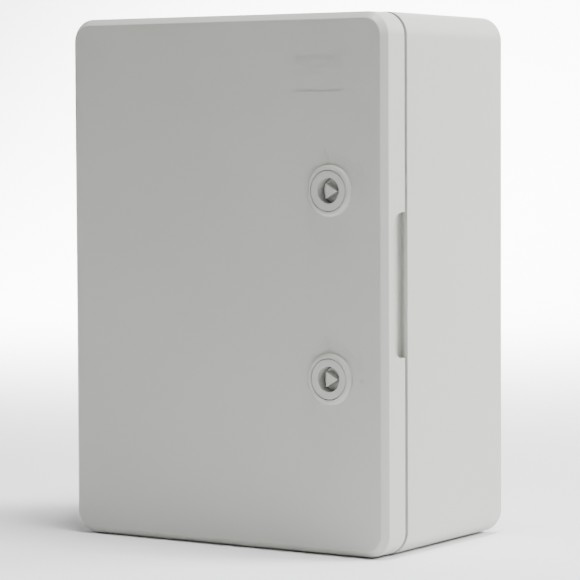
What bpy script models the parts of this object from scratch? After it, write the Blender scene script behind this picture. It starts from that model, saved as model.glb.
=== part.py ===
"""A wall-mounted electrical junction box: a moulded base and a hinged door with two quarter-turn locks.

Every piece is built in the case's own frame (x to the right, y up, z out of the wall), under one empty
that stands the case upright, so the door faces -Y and the wall face lies in the plane Y = 0.
"""

import math

import bmesh
import bpy
from mathutils import Matrix, Vector

# Overall size, without the hinge knuckles and lock seats that stand proud of it.
WIDTH = 0.252
HEIGHT = 0.350
DEPTH = 0.150

# Mouldings.
WALL = 0.003
CORNER_RADIUS = 0.016
BACK_EDGE_RADIUS = 0.0025
DRAFT = 0.0006
ARC_STEPS = 6
BACK_EDGE_STEPS = 3
SMALL_ARC_STEPS = 4
ROUND_STEPS = 24
CUT_PAST = 0.002  # how far a cutter runs past what it cuts
OVERLAP = 0.001  # how deep joined shapes reach into each other
MESH_GAP = 0.0003  # between pieces that touch on the real box

# Door.
DOOR_DEPTH = 0.0235
DOOR_GAP = 0.0028
DOOR_INSET = 0.0005
DOOR_CHAMFER = 0.0041
NOTCH_DEPTH = 0.015
NOTCH_HEIGHT = 0.0934
NOTCH_RADIUS = 0.012
LABEL_WIDTH = 0.0345
LABEL_HEIGHT = 0.0235
LABEL_RADIUS = 0.0015
LABEL_SINK = 0.0005
LABEL_FROM_RIGHT = 0.0342
LABEL_FROM_TOP = 0.0268
SEAL_RIB_WIDTH = 0.0015
SEAL_RIB_HEIGHT = 0.003

# Base collar, which presses into the door's gasket.
COLLAR_WALL = 0.003
WEB_SINK = 0.002
WEB_THICK = 0.003
GASKET_WIDTH = 0.0032
GASKET_THICK = 0.004
GASKET_SIDE_GAP = 0.0004
GASKET_CHAMFER_GAP = 0.00006

# Hinges.
HINGE_OUTSIDE = 0.0005
HINGE_FROM_END = 0.065
KNUCKLE_RADIUS = 0.004
KNUCKLE_CLEARANCE = 0.0004
KNUCKLE_TAPER = 0.010
BASE_KNUCKLE_LENGTH = 0.017
DOOR_KNUCKLE_LENGTH = 0.012
KNUCKLE_END_GAP = 0.0006
POCKET_END_GAP = 0.0004
PIN_RADIUS = 0.0015
PIN_CLEARANCE = 0.00025
PIN_BORE_PAST = 0.0005
PIN_STAND_OUT = 0.001

# Locks. The depths run inwards from the door's front plane.
LOCK_FROM_RIGHT = 0.0423
LOCK_SPACING = 0.121
SEAT_WALL = 0.00335
SEAT_RISE = 0.003
SEAT_EDGE_ROUND = 0.0016
FLANGE_REACH = 0.0021
FLANGE_CLEARANCE = 0.0003
FLANGE_THICK = 0.0026
FLANGE_EDGE = 0.0004
FLANGE_SEAL_THICK = 0.0008
FLANGE_BELOW_SEAT = 0.0002
BARREL_RADIUS = 0.0109
BARREL_LENGTH = 0.0242
BARREL_CLEARANCE = 0.00035
REAR_BOSS_THICK = 0.002
REAR_BOSS_PAST_NUT = 0.0019
NUT_WALL = 0.00225
NUT_THICK = 0.005
WELL_RADIUS = 0.00825
WELL_DEPTH = 0.0098
TRIANGLE_SIDE = 0.0105
TRIANGLE_CORNER = 0.0006
TRIANGLE_BELOW_FACE = 0.0015
SPINDLE_DISC_THICK = 0.0022
SPINDLE_DISC_CLEARANCE = 0.0006
SHAFT_RADIUS = 0.005
SHAFT_CLEARANCE = 0.0003
O_RING_THICK = 0.0015
O_RING_FROM_WELL = 0.008
O_RING_SIDE_GAP = 0.00045
SQUARE_SIDE = 0.007
CAM_THICK = 0.003
CAM_FROM_BARREL = 0.0006
CAM_HUB_RADIUS = 0.009
CAM_TIP_HALF_WIDTH = 0.006
CAM_TIP_RADIUS = 0.003
CAM_HOLE_CLEARANCE = 0.0003
WASHER_RADIUS = 0.006
WASHER_THICK = 0.0012
CAM_SCREW_HEAD_RADIUS = 0.004
CAM_SCREW_HEAD_HEIGHT = 0.003
CAM_SCREW_SHANK = 0.0083

# Screws, which all share one thread size.
SHANK_RADIUS = 0.0017
SHANK_CLEARANCE = 0.0004
HEAD_EDGE = 0.0008
HOLE_BELOW_SCREW = 0.0015

# Keepers.
KEEPER_WIDTH = 0.018
KEEPER_THICK = 0.002
KEEPER_HOOK_GAP = 0.0006
KEEPER_HOOK_REACH = 0.005
KEEPER_TIP_GAP = 0.002
KEEPER_FROM_COLLAR = 0.0023
KEEPER_FOOT_LENGTH = 0.018
KEEPER_SCREW_FROM_END = 0.004
KEEPER_FOOT_BELOW_CAM = 0.0044
KEEPER_SCREW_HEAD_RADIUS = 0.003
KEEPER_SCREW_HEAD_HEIGHT = 0.0025
KEEPER_SCREW_SHANK = 0.0123
PAD_DEPTH = 0.0157

# Mounting plate and what holds it.
PLATE_SIDE_ROOM = 0.028
PLATE_END_ROOM = 0.027
PLATE_THICK = 0.0015
PLATE_CORNER = 0.006
PLATE_HOLE_RADIUS = 0.0027
PLATE_HOLE_FROM_EDGE = 0.010
BOSS_RADIUS = 0.006
BOSS_HEIGHT = 0.011
PLATE_SCREW_HEAD_RADIUS = 0.0045
PLATE_SCREW_HEAD_HEIGHT = 0.0028
PLATE_SCREW_SHANK = 0.0095

# Wall-fixing holes and their plugs.
FIXING_HOLE_RADIUS = 0.003
FIXING_FROM_FILLET = 0.0065
PLUG_HEAD_RADIUS = 0.0055
PLUG_HEAD_HEIGHT = 0.002
PLUG_SHANK_CLEARANCE = 0.0004
PLUG_SHANK_SHORT = 0.0006

# Sizes worked out from the ones they fit to.
GASKET_INSET = DOOR_INSET + DOOR_CHAMFER + WALL * (math.sqrt(2) - 1) + GASKET_CHAMFER_GAP
COLLAR_INSET = GASKET_INSET + (GASKET_WIDTH - COLLAR_WALL) / 2
FLANGE_RADIUS = BARREL_RADIUS + FLANGE_REACH
SEAT_RADIUS = FLANGE_RADIUS + FLANGE_CLEARANCE + SEAT_WALL
NUT_ACROSS_FLATS = 2 * (BARREL_RADIUS + BARREL_CLEARANCE + NUT_WALL)
REAR_BOSS_RADIUS = NUT_ACROSS_FLATS / math.sqrt(3) + REAR_BOSS_PAST_NUT
PLATE_WIDTH = WIDTH - 2 * (WALL + PLATE_SIDE_ROOM)
PLATE_HEIGHT = HEIGHT - 2 * (WALL + PLATE_END_ROOM)

# Places worked out from the sizes above.
RIM_OUT = DEPTH - DOOR_DEPTH - DOOR_GAP
DOOR_REAR_OUT = DEPTH - DOOR_DEPTH
DOOR_SKIN_OUT = DEPTH - WALL
GASKET_BACK_OUT = DOOR_SKIN_OUT - MESH_GAP - GASKET_THICK
COLLAR_FRONT_OUT = GASKET_BACK_OUT - MESH_GAP
WEB_FRONT_OUT = RIM_OUT - WEB_SINK
HINGE_X = -WIDTH / 2 - HINGE_OUTSIDE
HINGE_OUT = (RIM_OUT + DOOR_REAR_OUT) / 2
LOCK_X = WIDTH / 2 - LOCK_FROM_RIGHT
FLANGE_FRONT_OUT = DEPTH + SEAT_RISE - FLANGE_BELOW_SEAT
FLANGE_BACK_OUT = FLANGE_FRONT_OUT - FLANGE_THICK
SEAT_FLOOR_OUT = FLANGE_BACK_OUT - FLANGE_SEAL_THICK - 2 * MESH_GAP
BARREL_END_OUT = FLANGE_BACK_OUT - BARREL_LENGTH
WELL_FLOOR_OUT = FLANGE_FRONT_OUT - WELL_DEPTH
NUT_FRONT_OUT = DOOR_SKIN_OUT - REAR_BOSS_THICK - MESH_GAP
CAM_FRONT_OUT = BARREL_END_OUT - CAM_FROM_BARREL
CAM_BACK_OUT = CAM_FRONT_OUT - CAM_THICK
SQUARE_END_OUT = CAM_BACK_OUT + MESH_GAP
WASHER_FRONT_OUT = CAM_BACK_OUT - MESH_GAP
CAM_SCREW_SEAT_OUT = WASHER_FRONT_OUT - WASHER_THICK - MESH_GAP
KEEPER_RIGHT = WIDTH / 2 - COLLAR_INSET - COLLAR_WALL - KEEPER_FROM_COLLAR
KEEPER_RISER_X = KEEPER_RIGHT - KEEPER_THICK
KEEPER_FOOT_X = KEEPER_RIGHT - KEEPER_FOOT_LENGTH
KEEPER_FOOT_FRONT_OUT = CAM_BACK_OUT - KEEPER_FOOT_BELOW_CAM
KEEPER_FOOT_BACK_OUT = KEEPER_FOOT_FRONT_OUT - KEEPER_THICK
CAM_TIP_X = KEEPER_RISER_X - KEEPER_TIP_GAP
CAM_LENGTH = CAM_TIP_X - LOCK_X
PLATE_BACK_OUT = WALL + BOSS_HEIGHT + MESH_GAP
PLATE_HOLE_X = PLATE_WIDTH / 2 - PLATE_HOLE_FROM_EDGE
PLATE_HOLE_Y = PLATE_HEIGHT / 2 - PLATE_HOLE_FROM_EDGE
FIXING_X = WIDTH / 2 - DRAFT - CORNER_RADIUS - FIXING_FROM_FILLET
FIXING_Y = HEIGHT / 2 - DRAFT - CORNER_RADIUS - FIXING_FROM_FILLET

for old_object in list(bpy.data.objects):
    bpy.data.objects.remove(old_object)

parts = bpy.data.collections.new("junction_box")
cutters = bpy.data.collections.new("junction_box_cutters")
bpy.context.scene.collection.children.link(parts)
bpy.context.scene.collection.children.link(cutters)

case_frame = bpy.data.objects.new("case_frame", None)
case_frame.rotation_euler.x = math.pi / 2
parts.objects.link(case_frame)

# The case's axes, as turns of a mesh that was drawn flat and raised along z.
RAISED_OUT = Matrix.Identity(4)
RAISED_DOWN = Matrix.Rotation(math.pi / 2, 4, "X")
RAISED_RIGHT = Matrix.Rotation(math.pi / 2, 4, "Y")


def finish(name, colour, roughness, metallic=0.0):
    """A material with one colour, roughness and metallic value."""
    made = bpy.data.materials.new(name)
    made.use_nodes = True
    shader = made.node_tree.nodes["Principled BSDF"]
    shader.inputs["Base Color"].default_value = (*colour, 1)
    shader.inputs["Roughness"].default_value = roughness
    shader.inputs["Metallic"].default_value = metallic
    return made


GREY_ABS = finish("grey_abs", (0.62, 0.62, 0.58), 0.45)
LOCK_NYLON = finish("lock_nylon", (0.58, 0.58, 0.55), 0.4)
BLACK_RUBBER = finish("black_rubber", (0.03, 0.03, 0.03), 0.8)
GREY_FOAM = finish("grey_foam", (0.12, 0.12, 0.12), 0.9)
ZINC_PLATE = finish("zinc_plate", (0.60, 0.62, 0.63), 0.35, 1.0)
PIN_STEEL = finish("pin_steel", (0.55, 0.55, 0.56), 0.25, 1.0)


def part(name, mesh, material, at=(0, 0, 0)):
    """A named piece whose origin is the point at, from a mesh drawn about that point."""
    made = bpy.data.objects.new(name, mesh)
    made.parent = case_frame
    made.location = at
    mesh.materials.append(material)
    mesh.shade_smooth()
    mesh.set_sharp_from_angle(angle=math.radians(35))
    parts.objects.link(made)
    return made


def helper(name, mesh, at=(0, 0, 0)):
    """A shape that only joins or cuts a piece."""
    made = bpy.data.objects.new(name, mesh)
    made.parent = case_frame
    made.location = at
    made.hide_render = True
    made.display_type = "WIRE"
    cutters.objects.link(made)
    return made


def combine(piece, operation, shapes):
    """Joins the shapes to the piece, or cuts them from it."""
    for shape in shapes:
        boolean = piece.modifiers.new(shape.name, "BOOLEAN")
        boolean.operation = operation
        boolean.object = shape


def move_origin(piece, to):
    """Puts the piece's origin on its joint's axis, with its shape where it was."""
    piece.data.transform(Matrix.Translation(-Vector(to)))
    piece.location = to


def arc(centre, radius, start, end, steps=ARC_STEPS):
    """Points along an arc, angles in degrees."""
    turns = [math.radians(start + (end - start) * i / steps) for i in range(steps + 1)]
    return [(centre[0] + radius * math.cos(a), centre[1] + radius * math.sin(a)) for a in turns]


def circle(radius, steps=ROUND_STEPS, centre=(0, 0)):
    return arc(centre, radius, 0, 360, steps)[:-1]


def rounded_rectangle(width, height, radius, centre=(0, 0)):
    x, y = width / 2 - radius, height / 2 - radius
    corners = ((x, y, 0), (-x, y, 90), (-x, -y, 180), (x, -y, 270))
    points = []
    for corner_x, corner_y, start in corners:
        points += arc((centre[0] + corner_x, centre[1] + corner_y), radius, start, start + 90)
    return points


def case_outline(inset):
    """The case's outline in front view, moved inwards."""
    return rounded_rectangle(WIDTH - 2 * inset, HEIGHT - 2 * inset, CORNER_RADIUS - inset)


def slab(outlines, low, high, turn=RAISED_OUT):
    """A flat outline, with its holes, raised from low to high."""
    curve = bpy.data.curves.new("outline", "CURVE")
    curve.dimensions = "2D"
    curve.fill_mode = "BOTH"
    curve.extrude = (high - low) / 2
    for points in outlines:
        spline = curve.splines.new("POLY")
        spline.points.add(len(points) - 1)
        for spline_point, (x, y) in zip(spline.points, points):
            spline_point.co = (x, y, 0, 1)
        spline.use_cyclic_u = True
    drawn = bpy.data.objects.new("outline", curve)
    bpy.context.scene.collection.objects.link(drawn)
    graph = bpy.context.evaluated_depsgraph_get()
    mesh = bpy.data.meshes.new_from_object(drawn.evaluated_get(graph))
    bpy.data.objects.remove(drawn)
    shape = bmesh.new()
    shape.from_mesh(mesh)
    bmesh.ops.remove_doubles(shape, verts=shape.verts, dist=0.00001)
    bmesh.ops.recalc_face_normals(shape, faces=shape.faces)
    shape.to_mesh(mesh)
    shape.free()
    mesh.transform(turn @ Matrix.Translation((0, 0, (low + high) / 2)))
    return mesh


def turned(profile, turn=RAISED_OUT):
    """A (radius, height) profile, spun about z. Its outer side runs from top to bottom."""
    mesh = bpy.data.meshes.new("profile")
    count = len(profile)
    on_axis = profile[0][0] == 0
    edges = [(i, (i + 1) % count) for i in range(count - on_axis)]
    mesh.from_pydata([(radius, 0, height) for radius, height in profile], edges, [])
    drawn = bpy.data.objects.new("profile", mesh)
    bpy.context.scene.collection.objects.link(drawn)
    spin = drawn.modifiers.new("spin", "SCREW")
    spin.steps = spin.render_steps = ROUND_STEPS
    spin.use_merge_vertices = True
    spin.merge_threshold = 0.00001
    graph = bpy.context.evaluated_depsgraph_get()
    spun = bpy.data.meshes.new_from_object(drawn.evaluated_get(graph))
    bpy.data.objects.remove(drawn)
    spun.transform(turn)
    return spun


def rod(radius, low, high, turn=RAISED_OUT):
    return turned([(0, high), (radius, high), (radius, low), (0, low)], turn)


def block(low, high):
    """A box between two corners."""
    shape = bmesh.new()
    low, high = Vector(low), Vector(high)
    sizes = Matrix.Diagonal((high - low).to_4d())
    sizes[3][3] = 1
    bmesh.ops.create_cube(shape, size=1, matrix=Matrix.Translation((low + high) / 2) @ sizes)
    mesh = bpy.data.meshes.new("block")
    shape.to_mesh(mesh)
    shape.free()
    return mesh


def edges_along(shape, axis):
    """The edges of a box that run mostly along the axis."""
    return [e for e in shape.edges if abs((e.verts[0].co - e.verts[1].co).normalized()[axis]) > 0.9]


def edges_at(shape, out):
    """The edges whose two ends both lie at this distance from the wall."""
    return [e for e in shape.edges if all(abs(v.co.z - out) < OVERLAP / 10 for v in e.verts)]


def open_face(shape, out):
    """Takes away the flat face at this distance from the wall."""
    faces = [f for f in shape.faces if all(abs(v.co.z - out) < OVERLAP / 10 for v in f.verts)]
    bmesh.ops.delete(shape, geom=faces, context="FACES")


def shell(name, shape):
    """A piece with one wall thickness, from the open outer surface."""
    mesh = bpy.data.meshes.new(name)
    shape.to_mesh(mesh)
    shape.free()
    piece = part(name, mesh, GREY_ABS)
    wall = piece.modifiers.new("wall", "SOLIDIFY")
    wall.thickness = WALL
    wall.offset = -1
    wall.use_even_offset = True
    return piece


def box_surface(inset, low, high):
    shape = bmesh.new()
    half_width, half_height = WIDTH / 2 - inset, HEIGHT / 2 - inset
    mesh = block((-half_width, -half_height, low), (half_width, half_height, high))
    shape.from_mesh(mesh)
    bpy.data.meshes.remove(mesh)
    return shape


def bevel(shape, edges, width, segments):
    bmesh.ops.bevel(
        shape, geom=edges, offset=width, offset_type="OFFSET", segments=segments, profile=0.5, affect="EDGES"
    )


def both_signs():
    """The four corners, as signs of x and y with a name for each."""
    names = {1: {1: "upper_right", -1: "lower_right"}, -1: {1: "upper_left", -1: "lower_left"}}
    return [(x, y, names[x][y]) for x in (1, -1) for y in (1, -1)]


# The knuckles stand in a row: door, base, door.
HALF_BASE_KNUCKLE = BASE_KNUCKLE_LENGTH / 2
DOOR_KNUCKLE_START = HALF_BASE_KNUCKLE + KNUCKLE_END_GAP
DOOR_KNUCKLE_END = DOOR_KNUCKLE_START + DOOR_KNUCKLE_LENGTH
DOOR_KNUCKLES = ((DOOR_KNUCKLE_START, DOOR_KNUCKLE_END), (-DOOR_KNUCKLE_END, -DOOR_KNUCKLE_START))
HINGE_Y = HEIGHT / 2 - HINGE_FROM_END
HINGES = (("upper", HINGE_Y), ("lower", -HINGE_Y))
LOCKS = (("upper", LOCK_SPACING / 2), ("lower", -LOCK_SPACING / 2))


def knuckle(name, hinge_y, low, high, direction):
    """A hinge eye about the pin, with a tail that runs into the wall behind (-1) or the door in front (1)."""
    tail_x = HINGE_OUTSIDE + DOOR_INSET + OVERLAP
    eye_end = 360 + math.degrees(math.acos(tail_x / KNUCKLE_RADIUS))
    outline = arc((0, 0), KNUCKLE_RADIUS, 180, eye_end, ROUND_STEPS * 2 // 3) + [(tail_x, KNUCKLE_TAPER)]
    outline = [(x, y * direction) for x, y in outline]
    mesh = slab([outline], low, high, RAISED_DOWN)
    return helper(name, mesh, (HINGE_X, hinge_y, HINGE_OUT))


def hinge_bore(name, hinge_y, radius, low, high):
    mesh = rod(radius, low, high, RAISED_DOWN)
    return helper(name, mesh, (HINGE_X, hinge_y, HINGE_OUT))


def base():
    shape = box_surface(0, 0, RIM_OUT)
    for vert in shape.verts:
        if vert.co.z < RIM_OUT / 2:
            vert.co.x -= math.copysign(DRAFT, vert.co.x)
            vert.co.y -= math.copysign(DRAFT, vert.co.y)
    bevel(shape, edges_along(shape, 2), CORNER_RADIUS, ARC_STEPS)
    bevel(shape, edges_at(shape, 0), BACK_EDGE_RADIUS, BACK_EDGE_STEPS)
    open_face(shape, RIM_OUT)
    piece = shell("enclosure_base", shape)

    joined = []
    collar_inner = case_outline(COLLAR_INSET + COLLAR_WALL)
    web = slab([case_outline(WALL / 2), collar_inner], WEB_FRONT_OUT - WEB_THICK, WEB_FRONT_OUT)
    joined.append(helper("collar_web", web))
    collar = slab([case_outline(COLLAR_INSET), collar_inner], WEB_FRONT_OUT - WEB_THICK, COLLAR_FRONT_OUT)
    joined.append(helper("collar", collar))
    for x, y, corner in both_signs():
        boss = rod(BOSS_RADIUS, WALL - OVERLAP, WALL + BOSS_HEIGHT)
        joined.append(helper(f"boss_{corner}", boss, (x * PLATE_HOLE_X, y * PLATE_HOLE_Y, 0)))
    pad_top = KEEPER_FOOT_BACK_OUT - MESH_GAP
    for side, y in LOCKS:
        half = KEEPER_WIDTH / 2
        low = (KEEPER_FOOT_X, y - half, pad_top - PAD_DEPTH)
        joined.append(helper(f"keeper_pad_{side}", block(low, (WIDTH / 2 - WALL / 2, y + half, pad_top))))
    combine(piece, "UNION", joined)

    cut = []
    for side, y in HINGES:
        for i, (low, high) in enumerate(DOOR_KNUCKLES):
            room = (low - POCKET_END_GAP, high + POCKET_END_GAP)
            pocket_radius = KNUCKLE_RADIUS + KNUCKLE_CLEARANCE
            cut.append(hinge_bore(f"base_pocket_{side}_{i}", y, pocket_radius, *room))
    combine(piece, "DIFFERENCE", cut)
    eyes = [knuckle(f"base_eye_{side}", y, -HALF_BASE_KNUCKLE, HALF_BASE_KNUCKLE, -1) for side, y in HINGES]
    combine(piece, "UNION", eyes)

    cut = []
    for side, y in HINGES:
        reach = HALF_BASE_KNUCKLE + PIN_BORE_PAST
        cut.append(hinge_bore(f"base_pin_hole_{side}", y, PIN_RADIUS + PIN_CLEARANCE, -reach, reach))
    screw_hole = SHANK_RADIUS + SHANK_CLEARANCE
    boss_top = WALL + BOSS_HEIGHT
    plate_shank = PLATE_SCREW_SHANK - PLATE_THICK - 2 * MESH_GAP
    for x, y, corner in both_signs():
        at = (x * PLATE_HOLE_X, y * PLATE_HOLE_Y, 0)
        hole = rod(screw_hole, boss_top - plate_shank - HOLE_BELOW_SCREW, boss_top + CUT_PAST)
        cut.append(helper(f"boss_hole_{corner}", hole, at))
        fixing = rod(FIXING_HOLE_RADIUS, -CUT_PAST, WALL + CUT_PAST)
        cut.append(helper(f"fixing_hole_{corner}", fixing, (x * FIXING_X, y * FIXING_Y, 0)))
    keeper_shank = KEEPER_SCREW_SHANK - KEEPER_THICK - 2 * MESH_GAP
    for side, y in LOCKS:
        hole = rod(screw_hole, pad_top - keeper_shank - HOLE_BELOW_SCREW, pad_top + CUT_PAST)
        cut.append(helper(f"pad_hole_{side}", hole, (KEEPER_FOOT_X + KEEPER_SCREW_FROM_END, y, 0)))
    combine(piece, "DIFFERENCE", cut)


def door():
    shape = box_surface(DOOR_INSET, DOOR_REAR_OUT, DEPTH)
    bevel(shape, edges_along(shape, 2), CORNER_RADIUS - DOOR_INSET, ARC_STEPS)
    bevel(shape, edges_at(shape, DEPTH), DOOR_CHAMFER, 1)
    open_face(shape, DOOR_REAR_OUT)
    piece = shell("door", shape)

    joined = []
    rib_inset = GASKET_INSET + GASKET_WIDTH + GASKET_SIDE_GAP
    rib_outlines = [case_outline(rib_inset), case_outline(rib_inset + SEAL_RIB_WIDTH)]
    rib = slab(rib_outlines, DOOR_SKIN_OUT - SEAL_RIB_HEIGHT, DOOR_SKIN_OUT + OVERLAP)
    joined.append(helper("seal_rib", rib))
    seat_top = DEPTH + SEAT_RISE
    seat_foot = DOOR_SKIN_OUT + OVERLAP
    edge_middle = (SEAT_RADIUS - SEAT_EDGE_ROUND, seat_top - SEAT_EDGE_ROUND)
    seat_edge = arc(edge_middle, SEAT_EDGE_ROUND, 90, 0, SMALL_ARC_STEPS)
    seat = [(0, seat_top), *seat_edge, (SEAT_RADIUS, seat_foot), (0, seat_foot)]
    rear_boss_out = DOOR_SKIN_OUT - REAR_BOSS_THICK
    for side, y in LOCKS:
        joined.append(helper(f"seat_{side}", turned(seat), (LOCK_X, y, 0)))
        boss = rod(REAR_BOSS_RADIUS, rear_boss_out, DOOR_SKIN_OUT + OVERLAP)
        joined.append(helper(f"rear_boss_{side}", boss, (LOCK_X, y, 0)))
    combine(piece, "UNION", joined)

    cut = []
    for side, y in HINGES:
        room = HALF_BASE_KNUCKLE + POCKET_END_GAP
        cut.append(hinge_bore(f"door_pocket_{side}", y, KNUCKLE_RADIUS + KNUCKLE_CLEARANCE, -room, room))
    combine(piece, "DIFFERENCE", cut)
    eyes = []
    for side, y in HINGES:
        for i, (low, high) in enumerate(DOOR_KNUCKLES):
            eyes.append(knuckle(f"door_eye_{side}_{i}", y, low, high, 1))
    combine(piece, "UNION", eyes)

    cut = []
    for side, y in HINGES:
        for i, (low, high) in enumerate(DOOR_KNUCKLES):
            bore = (low - PIN_BORE_PAST, high + PIN_BORE_PAST)
            cut.append(hinge_bore(f"door_pin_hole_{side}_{i}", y, PIN_RADIUS + PIN_CLEARANCE, *bore))
    barrel_hole, counterbore = BARREL_RADIUS + BARREL_CLEARANCE, FLANGE_RADIUS + FLANGE_CLEARANCE
    stepped_hole = [
        (0, seat_top + CUT_PAST),
        (counterbore, seat_top + CUT_PAST),
        (counterbore, SEAT_FLOOR_OUT),
        (barrel_hole, SEAT_FLOOR_OUT),
        (barrel_hole, rear_boss_out - CUT_PAST),
        (0, rear_boss_out - CUT_PAST),
    ]
    for side, y in LOCKS:
        cut.append(helper(f"lock_hole_{side}", turned(stepped_hole), (LOCK_X, y, 0)))
    notch_outline = rounded_rectangle(2 * NOTCH_DEPTH, NOTCH_HEIGHT, NOTCH_RADIUS)
    notch_right = WIDTH / 2 + CUT_PAST
    notch_left = WIDTH / 2 - DOOR_INSET - WALL - OVERLAP
    notch = slab([notch_outline], notch_left, notch_right, RAISED_RIGHT)
    cut.append(helper("finger_notch", notch, (0, 0, DOOR_REAR_OUT)))
    label_x = WIDTH / 2 - LABEL_FROM_RIGHT - LABEL_WIDTH / 2
    label_y = HEIGHT / 2 - LABEL_FROM_TOP - LABEL_HEIGHT / 2
    label = rounded_rectangle(LABEL_WIDTH, LABEL_HEIGHT, LABEL_RADIUS, (label_x, label_y))
    cut.append(helper("label_recess", slab([label], DEPTH - LABEL_SINK, DEPTH + CUT_PAST)))
    combine(piece, "DIFFERENCE", cut)
    move_origin(piece, (HINGE_X, 0, HINGE_OUT))


def gasket():
    outlines = [case_outline(GASKET_INSET), case_outline(GASKET_INSET + GASKET_WIDTH)]
    ring = slab(outlines, GASKET_BACK_OUT, GASKET_BACK_OUT + GASKET_THICK)
    piece = part("door_gasket", ring, GREY_FOAM)
    move_origin(piece, (HINGE_X, 0, HINGE_OUT))


def hinge_pin(side, y):
    reach = DOOR_KNUCKLE_END + PIN_STAND_OUT
    part(f"hinge_pin_{side}", rod(PIN_RADIUS, -reach, reach, RAISED_DOWN), PIN_STEEL, (HINGE_X, y, HINGE_OUT))


def spindle(side, at):
    """The turning core: a triangular key head, a disc that stops it in the well, a shaft and a square end."""
    disc_back = WELL_FLOOR_OUT + MESH_GAP
    disc_front = disc_back + SPINDLE_DISC_THICK
    disc_radius = WELL_RADIUS - SPINDLE_DISC_CLEARANCE
    groove_middle = WELL_FLOOR_OUT - O_RING_FROM_WELL
    groove_half = O_RING_THICK / 2 + O_RING_SIDE_GAP
    groove_radius = SHAFT_RADIUS - O_RING_THICK - MESH_GAP
    shaft_end = CAM_FRONT_OUT + MESH_GAP
    profile = [
        (0, disc_front),
        (disc_radius, disc_front),
        (disc_radius, disc_back),
        (SHAFT_RADIUS, disc_back),
        (SHAFT_RADIUS, groove_middle + groove_half),
        (groove_radius, groove_middle + groove_half),
        (groove_radius, groove_middle - groove_half),
        (SHAFT_RADIUS, groove_middle - groove_half),
        (SHAFT_RADIUS, shaft_end),
        (0, shaft_end),
    ]
    piece = part(f"lock_spindle_{side}", turned(profile), LOCK_NYLON, at)
    corner = TRIANGLE_SIDE / math.sqrt(3) - 2 * TRIANGLE_CORNER
    head = []
    for turn in (0, 120, 240):
        middle = (corner * math.cos(math.radians(turn)), corner * math.sin(math.radians(turn)))
        head += arc(middle, TRIANGLE_CORNER, turn - 60, turn + 60, SMALL_ARC_STEPS)
    head_mesh = slab([head], disc_front - OVERLAP, FLANGE_FRONT_OUT - TRIANGLE_BELOW_FACE)
    half = SQUARE_SIDE / 2
    square = block((-half, -half, SQUARE_END_OUT), (half, half, shaft_end + OVERLAP))
    combine(piece, "UNION", [helper(f"key_head_{side}", head_mesh, at), helper(f"square_{side}", square, at)])
    hole_end = CAM_SCREW_SEAT_OUT + CAM_SCREW_SHANK + HOLE_BELOW_SCREW
    hole = rod(SHANK_RADIUS + SHANK_CLEARANCE, SQUARE_END_OUT - CUT_PAST, hole_end)
    combine(piece, "DIFFERENCE", [helper(f"spindle_hole_{side}", hole, at)])


def lock(side, y):
    at = (LOCK_X, y, 0)
    bore = SHAFT_RADIUS + SHAFT_CLEARANCE
    body = [
        (WELL_RADIUS, FLANGE_FRONT_OUT),
        (FLANGE_RADIUS - FLANGE_EDGE, FLANGE_FRONT_OUT),
        (FLANGE_RADIUS, FLANGE_FRONT_OUT - FLANGE_EDGE),
        (FLANGE_RADIUS, FLANGE_BACK_OUT),
        (BARREL_RADIUS, FLANGE_BACK_OUT),
        (BARREL_RADIUS, BARREL_END_OUT),
        (bore, BARREL_END_OUT),
        (bore, WELL_FLOOR_OUT),
        (WELL_RADIUS, WELL_FLOOR_OUT),
    ]
    part(f"lock_body_{side}", turned(body), LOCK_NYLON, at)

    seal_inner = BARREL_RADIUS + BARREL_CLEARANCE
    seal_out = SEAT_FLOOR_OUT + MESH_GAP
    seal = slab([circle(FLANGE_RADIUS), circle(seal_inner)], seal_out, seal_out + FLANGE_SEAL_THICK)
    part(f"lock_seal_{side}", seal, BLACK_RUBBER, at)

    spindle(side, at)

    o_ring_radius = O_RING_THICK / 2
    o_ring_middle = (SHAFT_RADIUS - o_ring_radius, WELL_FLOOR_OUT - O_RING_FROM_WELL)
    section = arc(o_ring_middle, o_ring_radius, 90, -270, 2 * SMALL_ARC_STEPS)[:-1]
    part(f"lock_o_ring_{side}", turned(section), BLACK_RUBBER, at)

    hexagon = circle(NUT_ACROSS_FLATS / math.sqrt(3), 6)
    nut = slab([hexagon, circle(BARREL_RADIUS + BARREL_CLEARANCE)], NUT_FRONT_OUT - NUT_THICK, NUT_FRONT_OUT)
    part(f"lock_nut_{side}", nut, ZINC_PLATE, at)

    tip_x, tip_y = CAM_TIP_HALF_WIDTH - CAM_TIP_RADIUS, CAM_TIP_RADIUS - CAM_LENGTH
    outline = arc((0, 0), CAM_HUB_RADIUS, 0, 180, ROUND_STEPS // 2)
    outline += arc((-tip_x, tip_y), CAM_TIP_RADIUS, 180, 270, SMALL_ARC_STEPS)
    outline += arc((tip_x, tip_y), CAM_TIP_RADIUS, 270, 360, SMALL_ARC_STEPS)
    half = SQUARE_SIDE / 2 + CAM_HOLE_CLEARANCE
    square_hole = [(half, half), (-half, half), (-half, -half), (half, -half)]
    part(f"lock_cam_{side}", slab([outline, square_hole], CAM_BACK_OUT, CAM_FRONT_OUT), ZINC_PLATE, at)

    washer_hole = circle(SHANK_RADIUS + SHANK_CLEARANCE)
    washer = slab([circle(WASHER_RADIUS), washer_hole], WASHER_FRONT_OUT - WASHER_THICK, WASHER_FRONT_OUT)
    part(f"cam_washer_{side}", washer, ZINC_PLATE, at)
    screw_end = CAM_SCREW_SEAT_OUT + CAM_SCREW_SHANK
    screw = screw_profile(CAM_SCREW_HEAD_RADIUS, CAM_SCREW_HEAD_HEIGHT, CAM_SCREW_SHANK)
    turned_over = Matrix.Translation((0, 0, screw_end)) @ Matrix.Rotation(math.pi, 4, "X")
    turned_over = turned_over @ Matrix.Translation((0, 0, CAM_SCREW_SHANK))
    part(f"cam_screw_{side}", turned(screw, turned_over), ZINC_PLATE, at)


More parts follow.
